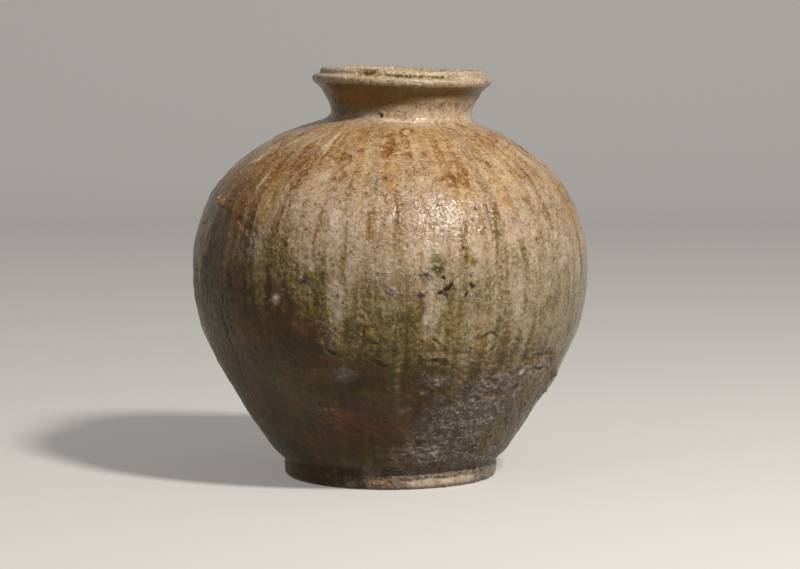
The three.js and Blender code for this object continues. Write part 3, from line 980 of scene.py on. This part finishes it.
# Noises added by weight, each counted from its middle
def weighted(tree, *noises):
    total = -0.5 * sum(weight for _, weight in noises)
    for noise, weight in noises:
        total = maths(tree, "MULTIPLY_ADD", noise, weight, total)
    return total


def fadeIn(tree, value, low, high):
    return addNode(tree, "MapRange", {0: value, 1: low, 2: high}, interpolation_type="SMOOTHSTEP").outputs[0]


def blendColour(tree, factor, below, above):
    return addNode(tree, "Mix", {0: factor, 6: below, 7: above}, data_type="RGBA").outputs[2]


def blendValue(tree, factor, below, above):
    return addNode(tree, "Mix", {0: factor, 2: below, 3: above}, data_type="FLOAT").outputs[0]


def toneRamp(tree, value, tone):
    made = addNode(tree, "ValToRGB", {0: value})
    elements = made.color_ramp.elements
    while len(elements) < len(toneStops):
        elements.new(0.5)
    for element, stop, colour in zip(elements, toneStops, kilnTones[tone]):
        element.position = stop
        element.color = tint(*colour)
    return made.outputs[0]


# A new material with its tree of nodes and its shader
def startMaterial(name):
    material = bpy.data.materials.new(name)
    material.use_nodes = True
    return material, material.node_tree, material.node_tree.nodes["Principled BSDF"]


def addBump(tree, shader, relief):
    bump = addNode(tree, "Bump", {"Strength": 1.0, "Distance": mm, "Height": relief})
    tree.links.new(bump.outputs[0], shader.inputs["Normal"])


def readMasks(tree):
    read = {}
    for layerName, channels in maskLayers.items():
        attribute = addNode(tree, "Attribute", attribute_name=layerName)
        split = addNode(tree, "SeparateColor", {0: attribute.outputs["Color"]})
        read.update(zip(channels, list(split.outputs) + [attribute.outputs["Alpha"]]))
    return read


# The place drawn out down the wall, in which a noise makes runs
def placeDownWall(tree, place):
    flat = stretched(tree, place, (1, 1, 0))
    radial = addNode(tree, "VectorMath", {0: flat}, operation="NORMALIZE").outputs[0]
    radial = scaled(tree, radial, kilnGrain["streakGirth"])
    return moved(tree, radial, stretched(tree, place, (0, 0, kilnGrain["streakPull"])))


# The grains of the fired ash: "texture" is about 0 in its hollows and 1 on its crests, and "edge" and
# "streakEdge" break the edges of the finishes
def mixGrains(tree, place, high, read):
    sizes = kilnGrain
    downWall = placeDownWall(tree, place)
    streaks = noiseOf(tree, downWall, sizes["streaks"], 2)
    wideStreaks = noiseOf(tree, downWall, sizes["wideStreaks"], 2)
    grains = {"fine": noiseOf(tree, place, sizes["fine"], 2, 0.6),
              "small": noiseOf(tree, place, sizes["small"], 3),
              "middle": noiseOf(tree, place, sizes["middle"], 3),
              "broad": noiseOf(tree, place, sizes["broad"], 2)}
    fine, small, middle, broad = grains.values()
    running = times(tree, fadeIn(tree, high, *sizes["streakHeights"]),
                    maths(tree, "SUBTRACT", 1.0, read["inside"]))
    texture = times(tree, weighted(tree, (streaks, 0.2), (wideStreaks, 0.45)), running)
    plainGrain = weighted(tree, (fine, 0.35), (small, 0.5), (middle, 0.35), (broad, 0.4))
    calm = maths(tree, "MULTIPLY_ADD", read["neck"], sizes["neckCalm"], 1.0)
    grains["texture"] = maths(tree, "MULTIPLY_ADD", maths(tree, "ADD", texture, plainGrain), calm, 0.5)
    grains["edge"] = weighted(tree, (small, 0.8), (middle, 1.2))
    grains["streakEdge"] = times(tree, weighted(tree, (streaks, 0.3), (wideStreaks, 1.7)), running)
    return grains


# Veins of brown glass between the streams, on the upper half
def drawVeins(tree, place, high, middle):
    veins = kilnGrain["veins"]
    inputs = {"Vector": place, "Scale": 1 / veins["bendSize"], "Detail": 3}
    bent = addNode(tree, "TexNoise", inputs).outputs["Color"]
    stream = moved(tree, stretched(tree, place, (1, 1, veins["pull"])), scaled(tree, bent, veins["bend"]))
    inputs = {"Vector": stream, "Scale": 1 / veins["size"]}
    cells = addNode(tree, "TexVoronoi", inputs, feature="DISTANCE_TO_EDGE")
    line = fadeIn(tree, cells.outputs[0], veins["wide"], 0.0)
    return times(tree, line, fadeIn(tree, middle, *veins["patches"]), veins["strength"],
                 fadeIn(tree, high, *veins["heights"]))


# What shows in the cream ash: mauve and honey clouds, brown veins and green glass lower down
def cloudCream(tree, place, high, grains, factor, colour):
    for cloud, tone in (("mauve", "mauve"), ("honey", "ochre")):
        noise = noiseOf(tree, place, kilnGrain[cloud]["size"], 2)
        here = times(tree, factor, fadeIn(tree, noise, *kilnGrain[cloud]["levels"]))
        colour = blendColour(tree, here, colour, toneRamp(tree, grains["texture"], tone))
    veins = times(tree, factor, drawVeins(tree, place, high, grains["middle"]))
    colour = blendColour(tree, veins, colour, toneRamp(tree, grains["texture"], "brown"))
    glass = maths(tree, "MULTIPLY_ADD", grains["streakEdge"], kilnGrain["glass"]["ragged"], high)
    glass = times(tree, fadeIn(tree, glass, *kilnGrain["glass"]["heights"]),
                  kilnGrain["glass"]["strength"], factor)
    return blendColour(tree, glass, colour, toneRamp(tree, grains["texture"], "celadon"))


# Lays the finishes one over the other, each where its mask says
def layFinishes(tree, place, high, grains, read):
    texture = grains["texture"]
    umber = fadeIn(tree, grains["broad"], *kilnGrain["umberLevels"])
    colour = blendColour(tree, umber, toneRamp(tree, texture, "olive"), toneRamp(tree, texture, "umber"))
    rough = kilnGrain["bareRough"]
    gritty = kilnGrain["bareGrit"]
    for tone, layer in kilnLayers.items():
        here = read[layer["mask"]]
        broken, streaky = layer["edge"]
        shaken = maths(tree, "MULTIPLY_ADD", grains["edge"], broken, here)
        shaken = maths(tree, "MULTIPLY_ADD", grains["streakEdge"], streaky, shaken)
        factor = times(tree, fadeIn(tree, shaken, *layer["levels"]), fadeIn(tree, here, 0, 0.12))
        colour = blendColour(tree, factor, colour, toneRamp(tree, texture, tone))
        rough = blendValue(tree, factor, rough, layer["rough"])
        gritty = blendValue(tree, factor, gritty, layer["grit"])
        if tone == "cream":
            colour = cloudCream(tree, place, high, grains, factor, colour)
    return colour, rough, gritty


# Burnt hollows and painted shade from the dark mask, iron freckles in a few cells, dark specks and painted
# glints
def addFlecks(tree, place, grains, read, colour):
    burntAndShade, freckles, specks, paintedGlints = (kilnGrain[kind] for kind in ("burntAndShade", "freckles", "specks", "paintedGlints"))
    # The dark mask: burnt blots and runs, and painted shade in cracks, creases, wrinkle hollows and under
    # ledges
    dark = fadeIn(tree, maths(tree, "MULTIPLY_ADD", grains["edge"], -0.5, read["dark"]), *burntAndShade["levels"])
    colour = blendColour(tree, dark, colour, burntAndShade["colour"])
    cells = addNode(tree, "TexVoronoi", {"Vector": place, "Scale": 1 / freckles["cell"]}, feature="F1")
    chance = addNode(tree, "SeparateColor", {0: cells.outputs["Color"]}).outputs[0]
    freckle = times(tree, fadeIn(tree, cells.outputs["Distance"], *freckles["edge"]),
                    fadeIn(tree, chance, *freckles["chosen"]))
    colour = blendColour(tree, times(tree, freckle, freckles["strength"]), colour, freckles["colour"])
    flecks = noiseOf(tree, place, specks["size"], 1)
    bare = maths(tree, "MAXIMUM", read["neck"], times(tree, read["milk"], 0.8))
    quiet = maths(tree, "MAXIMUM", bare, times(tree, read["crust"], 0.6))
    speck = times(tree, fadeIn(tree, flecks, *specks["levels"]),
                  maths(tree, "MULTIPLY_ADD", quiet, -0.85, 1.0))
    colour = blendColour(tree, times(tree, speck, specks["strength"]), colour, specks["colour"])
    # Painted glints: pale flecks where the glaze is glassy, standing in for sparkle of light
    glassy = maths(tree, "SUBTRACT", maths(tree, "MAXIMUM", read["cover"], read["crust"]), bare)
    paintedGlint = times(tree, fadeIn(tree, flecks, *paintedGlints["levels"]), maths(tree, "MAXIMUM", glassy, 0.0))
    colour = blendColour(tree, times(tree, paintedGlint, paintedGlints["strength"]), colour, paintedGlints["colour"])
    return colour, {"freckle": freckle, "speck": speck, "burntAndShade": dark}


# Fine relief in millimetres
def fineRelief(tree, place, grains, gritty, hollows):
    relief = kilnGrain["relief"]
    smallHeight = maths(tree, "MULTIPLY_ADD", gritty, relief["smallOnGrit"], relief["small"])
    total = times(tree, grains["small"], smallHeight)
    total = maths(tree, "MULTIPLY_ADD", grains["fine"], relief["fine"], total)
    inputs = {"Vector": place, "Scale": 1 / relief["beadSize"], "Smoothness": relief["beadBlend"]}
    beads = addNode(tree, "TexVoronoi", inputs, feature="SMOOTH_F1")
    beads = times(tree, maths(tree, "SUBTRACT", 1.0, beads.outputs["Distance"]), gritty)
    total = maths(tree, "MULTIPLY_ADD", beads, relief["beads"], total)
    for kind, hollow in hollows.items():
        total = maths(tree, "MULTIPLY_ADD", hollow, relief[kind], total)
    return total


# One glaze-and-clay material for the whole pot: the masks say what lies where, and the grain breaks their
# edges
def makeKilnSurface():
    material, tree, shader = startMaterial("kiln_surface")
    shader.inputs["Specular IOR Level"].default_value = kilnGrain["specular"]
    place = placeOnPot(tree)
    high = addNode(tree, "SeparateXYZ", {0: place}).outputs[2]
    read = readMasks(tree)
    grains = mixGrains(tree, place, high, read)
    colour, rough, gritty = layFinishes(tree, place, high, grains, read)
    colour, hollows = addFlecks(tree, place, grains, read, colour)
    uneven = maths(tree, "SUBTRACT", grains["small"], 0.5)
    tree.links.new(colour, shader.inputs["Base Color"])
    tree.links.new(maths(tree, "MULTIPLY_ADD", uneven, kilnGrain["roughSpread"], rough),
                   shader.inputs["Roughness"])
    addBump(tree, shader, fineRelief(tree, place, grains, gritty, hollows))
    return material


kilnMaterial = makeKilnSurface()
print("material made")

# The pieces of clay: the CAD node that each stands for, its finish, and which pairs of places in runEnds
# give the rings that are joined to close it
clayPieces = {
    "jar_floor": ("floor_disc", "bare_clay", [(1, -2)]),
    "jar_foot": ("foot_coil", "foot_clay", [(1, 2)]),
    "jar_lower_wall": ("lower_wall", "scorched_clay", [(2, -2), (3, -3)]),
    "jar_waist": ("waist_wall", "green_ash_glaze", [(3, -3), (4, -4)]),
    "jar_belly": ("belly_wall", "cream_ash_glaze", [(4, -4), (5, -5)]),
    "jar_shoulder": ("shoulder_wall", "tan_ash_glaze", [(5, -5), (6, -6)]),
    "jar_neck": ("neck_collar", "neck_ash_glaze", [(6, -6), (7, -7)]),
    "jar_rim": ("rim_band", "rim_ash_glaze", [(7, -7)]),
}


def readVectors(source, count):
    values = np.empty(count * 3, np.float32)
    source.foreach_get("vector", values)
    return values.reshape(-1, 3)


def readWhole(source, kind, count):
    values = np.empty(count, np.int32)
    source.foreach_get(kind, values)
    return values


# The ring of each face corner, and where each face's corners start
def loopRingsOf(mesh):
    rings = readWhole(mesh.attributes["ring"].data, "value", len(mesh.vertices))
    corners = readWhole(mesh.loops, "vertex_index", len(mesh.loops))
    return rings[corners], readWhole(mesh.polygons, "loop_start", len(mesh.polygons))


# Parts the pot at its seams into closed pieces that keep the whole pot's shading, so that no seam shows
def partJar():
    mesh = jar.data
    ringLayer = mesh.attributes.new("ring", "INT", "POINT")
    ringLayer.data.foreach_set("value", ring.astype(np.int32))
    normals = readVectors(mesh.vertex_normals, len(mesh.vertices))
    normalLayer = mesh.attributes.new("potNormal", "FLOAT_VECTOR", "POINT")
    normalLayer.data.foreach_set("vector", normals.ravel())
    loopRings, starts = loopRingsOf(mesh)
    nodeNames = [node for node, _, _ in clayPieces.values()]
    owner = [nodeNames.index(ringOwner[lowest]) for lowest in np.minimum.reduceat(loopRings, starts)]
    for name in clayPieces:
        mesh.materials.append(bpy.data.materials.new(name))
    mesh.polygons.foreach_set("material_index", np.array(owner, np.int32))
    selectOnly([jar])
    setMode("EDIT")
    bpy.ops.mesh.separate(type="MATERIAL")
    setMode("OBJECT")
    pieces = {piece.active_material.name: piece for piece in bpy.context.selected_objects}
    for name, (node, slotName, closings) in clayPieces.items():
        piece = pieces[name]
        piece.name = piece.data.name = name
        closePiece(piece, [[runEnds[place] for place in pair] for pair in closings])
        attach(piece, "root")
        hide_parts(node)
        print("parted:", name, len(piece.data.polygons), "faces")


def closePiece(piece, closings):
    mesh = piece.data
    selectOnly([piece])
    for closing in closings:
        rings = readWhole(mesh.attributes["ring"].data, "value", len(mesh.vertices))
        ends = rings[readWhole(mesh.edges, "vertices", len(mesh.edges) * 2).reshape(-1, 2)]
        setMode("EDIT")
        bpy.ops.mesh.select_mode(type="EDGE")
        selectAll("DESELECT")
        setMode("OBJECT")
        mesh.edges.foreach_set("select", (ends[:, 0] == ends[:, 1]) & np.isin(ends[:, 0], closing))
        setMode("EDIT")
        bpy.ops.mesh.bridge_edge_loops()
        setMode("OBJECT")
    setMode("EDIT")
    selectAll()
    bpy.ops.mesh.normals_make_consistent(inside=False)
    setMode("OBJECT")
    keepPotShading(mesh)
    for name in ("ring", "potNormal"):
        mesh.attributes.remove(mesh.attributes[name])
    mesh.materials.clear()
    mesh.materials.append(kilnMaterial)


# The whole pot's normals on the pot's own surface, and flat ones on the hidden faces that close the piece
def keepPotShading(mesh):
    potNormals = readVectors(mesh.attributes["potNormal"].data, len(mesh.vertices))
    corners = readWhole(mesh.loops, "vertex_index", len(mesh.loops))
    loopRings, starts = loopRingsOf(mesh)
    span = np.maximum.reduceat(loopRings, starts) - np.minimum.reduceat(loopRings, starts)
    sizes = np.diff(np.append(starts, len(corners)))
    faceNormals = np.repeat(readVectors(mesh.polygon_normals, len(mesh.polygons)), sizes, axis=0)
    closing = np.repeat(span > 1, sizes)[:, None]
    mesh.polygons.foreach_set("use_smooth", np.ones(len(mesh.polygons), bool))
    mesh.normals_split_custom_set(np.where(closing, faceNormals, potNormals[corners]).tolist())


surfaceTree = bvhtree.BVHTree.FromObject(jar, bpy.context.evaluated_depsgraph_get())


# Where the outside of the finished pot lies at this angle and height, and which way it faces there
def surfaceAt(at, up):
    turn = math.radians(at)
    start = Vector((math.cos(turn) * 0.3, math.sin(turn) * 0.3, up * mm))
    centre = Vector((0, 0, up * mm))
    place, normal, _, _ = surfaceTree.ray_cast(start, centre - start)
    return place, normal


partJar()

# White feldspar grains and kiln crumbs that stand out of the wall. A zone is its place, its width and rise,
# and the number of grains in it.
grit = {
    "feldspar_grains": {
        "slot": "scorched_clay", "seed": 21, "size": (0.8, 1.9),
        "zones": [
            ((300, 60), 26, 24, 60), ((286, 34), 16, 9, 30), ((312, 40), 20, 12, 24),
            ((310, 100), 24, 14, 20), ((330, 60), 20, 20, 14),
        ],
        "colour": tint(176, 160, 146), "colourDark": tint(112, 96, 84), "rough": 0.2,
    },
    "kiln_crumbs": {
        "slot": "tan_ash_glaze", "seed": 22, "size": (0.7, 1.7),
        "zones": [
            ((204, 274), 8, 5, 24), ((247, 84), 6, 4, 18), ((318, 106), 7, 12, 16), ((344, 96), 5, 16, 6),
            ((236, 189), 5, 4, 8), ((289, 71), 4, 4, 8), ((264, 158), 4, 4, 6),
        ],
        "colour": tint(214, 194, 160), "colourDark": tint(140, 104, 62), "rough": 0.32,
    },
}

# The shape of one grain against its size, how it sits in the wall and how uneven its face is
grainShape = {
    "length": (0.8, 1.3), "thickness": (0.6, 0.9), "sunk": 0.3,
    "wallRadius": 150, "riseShare": 0.6, "lowest": 24,
    "stain": {"size": 2.4, "levels": (0.42, 0.66)}, "bump": {"size": 1.0, "height": 0.3},
}


def makeGrainMaterial(name, settings):
    material, tree, shader = startMaterial(name)
    place = placeOnPot(tree)
    stain, bump = grainShape["stain"], grainShape["bump"]
    stained = fadeIn(tree, noiseOf(tree, place, stain["size"], 3), *stain["levels"])
    stained = blendColour(tree, stained, settings["colour"], settings["colourDark"])
    tree.links.new(stained, shader.inputs["Base Color"])
    shader.inputs["Roughness"].default_value = settings["rough"]
    addBump(tree, shader, times(tree, noiseOf(tree, place, bump["size"], 2), bump["height"]))
    return material


def makeGrainPattern():
    clearSelection()
    bpy.ops.mesh.primitive_ico_sphere_add(subdivisions=2, radius=1)
    pattern = bpy.context.object
    setMode("EDIT")
    selectAll()
    bpy.ops.mesh.vertices_smooth(factor=0.3, repeat=1)
    bpy.ops.transform.resize(value=(1, 0.82, 0.7))
    setMode("OBJECT")
    return pattern


def scatterGrit(name, settings):
    random = np.random.default_rng(settings["seed"])
    pattern = makeGrainPattern()
    made = []
    for (at, up), width, rise, count in settings["zones"]:
        for _ in range(count):
            turn = at + math.degrees(random.normal(0, width) / grainShape["wallRadius"])
            above = up + random.normal(0, rise) * grainShape["riseShare"]
            place, normal = surfaceAt(turn, max(above, grainShape["lowest"]))
            size = random.uniform(*settings["size"]) * mm
            piece = pattern.copy()
            piece.data = pattern.data.copy()
            bpy.context.collection.objects.link(piece)
            piece.rotation_mode = "QUATERNION"
            piece.rotation_quaternion = normal.to_track_quat("Z", "Y")
            length = size * random.uniform(*grainShape["length"])
            piece.scale = (length, size, size * random.uniform(*grainShape["thickness"]))
            piece.location = place - normal * size * grainShape["sunk"]
            made.append(piece)
    bpy.data.objects.remove(pattern)
    selectOnly(made)
    bpy.ops.object.join()
    bpy.ops.object.transform_apply(location=True, rotation=True, scale=True)
    joined = bpy.context.object
    joined.name = joined.data.name = name
    joined.data.materials.append(makeGrainMaterial(name + "_finish", settings))
    bpy.ops.object.shade_smooth()
    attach(joined, "root")
    print("scattered:", name, len(made), "grains")


for name, settings in grit.items():
    scatterGrit(name, settings)

# A seamless paper sweep, two lamps, a pale room and the camera
studio = {
    "sweep": {"wide": 16, "backAt": 4.6, "high": 3.2, "corner": 1.3},
    "paper": tint(214, 211, 206), "paperBounce": tint(112, 110, 108), "paperGlow": 0.3,
    "world": tint(230, 228, 226), "worldStrength": 0.19,
    "key": {"from": (1.4, -1.7, 2.35), "size": 0.4, "power": 80, "colour": (1, 0.96, 0.91)},
    "fill": {"from": (-1.4, -2.6, 0.7), "size": 1.4, "power": 3, "colour": (1, 0.98, 0.96)},
    "aim": (0, 0, 0.2),
    "camera": {"place": (0.0098, -2.9, 0.465), "pitch": 5.47, "lens": 133.5},
}


# The paper turns up beyond the circle that the camera goes round, so that it never hides the jar
def makeSweep():
    settings = studio["sweep"]
    middle = settings["backAt"] - settings["wide"] / 2
    clearSelection()
    bpy.ops.mesh.primitive_plane_add(size=settings["wide"], location=(0, middle, 0))
    sweep = bpy.context.object
    sweep.name = "studio_sweep"
    setMode("EDIT")
    selectAll("DESELECT")
    setMode("OBJECT")
    for vertex in sweep.data.vertices:
        vertex.select = vertex.co.y > 0
    for line in sweep.data.edges:
        line.select = all(sweep.data.vertices[v].co.y > 0 for v in line.vertices)
    setMode("EDIT")
    bpy.ops.mesh.select_mode(type="EDGE")
    bpy.ops.mesh.extrude_region_move(TRANSFORM_OT_translate={"value": (0, 0, settings["high"])})
    setMode("OBJECT")
    corner = sweep.modifiers.new("corner", "BEVEL")
    corner.width = settings["corner"]
    corner.segments = 24
    corner.limit_method = "ANGLE"
    bpy.ops.object.modifier_apply(modifier="corner")
    bpy.ops.object.shade_smooth()
    bpy.ops.object.transform_apply(location=True, rotation=False, scale=False)
    sweep.data.materials.append(makePaper())


# Paper that takes the jar's shadow and looks paler to the camera and in reflections than its light alone
# makes it
def makePaper():
    material, tree, shader = startMaterial("studio_paper")
    shader.inputs["Roughness"].default_value = 0.9
    shader.inputs["Specular IOR Level"].default_value = 0.1
    rays = addNode(tree, "LightPath").outputs
    seen = maths(tree, "MAXIMUM", rays["Is Camera Ray"], rays["Is Glossy Ray"])
    seen = maths(tree, "MAXIMUM", seen, rays["Is Transmission Ray"])
    tree.links.new(blendColour(tree, seen, studio["paperBounce"], studio["paper"]),
                   shader.inputs["Base Color"])
    shader.inputs["Emission Color"].default_value = studio["paper"]
    tree.links.new(maths(tree, "MULTIPLY", seen, studio["paperGlow"]), shader.inputs["Emission Strength"])
    return material


def hang(name, device, place):
    holder = bpy.data.objects.new(name, device)
    bpy.context.scene.collection.objects.link(holder)
    holder.location = place
    return holder


def addLamp(name):
    settings = studio[name]
    lamp = bpy.data.lights.new(name, "AREA")
    lamp.shape = "DISK"
    lamp.size = settings["size"]
    lamp.energy = settings["power"]
    lamp.color = settings["colour"]
    aim = Vector(studio["aim"]) - Vector(settings["from"])
    hang(name, lamp, settings["from"]).rotation_euler = aim.to_track_quat("-Z", "Y").to_euler()


def addCamera():
    settings = studio["camera"]
    lens = bpy.data.cameras.new("photo_camera")
    lens.lens = settings["lens"]
    lens.sensor_width = 36
    holder = hang("photo_camera", lens, settings["place"])
    holder.rotation_euler = (math.radians(90 - settings["pitch"]), 0, 0)
    bpy.context.scene.camera = holder


makeSweep()
addLamp("key")
addLamp("fill")
addCamera()
world = bpy.data.worlds.new("studio_light")
world.use_nodes = True
world.node_tree.nodes["Background"].inputs["Color"].default_value = studio["world"]
world.node_tree.nodes["Background"].inputs["Strength"].default_value = studio["worldStrength"]
bpy.context.scene.world = world
bpy.context.scene.view_settings.view_transform = "Standard"
print("studio lit")
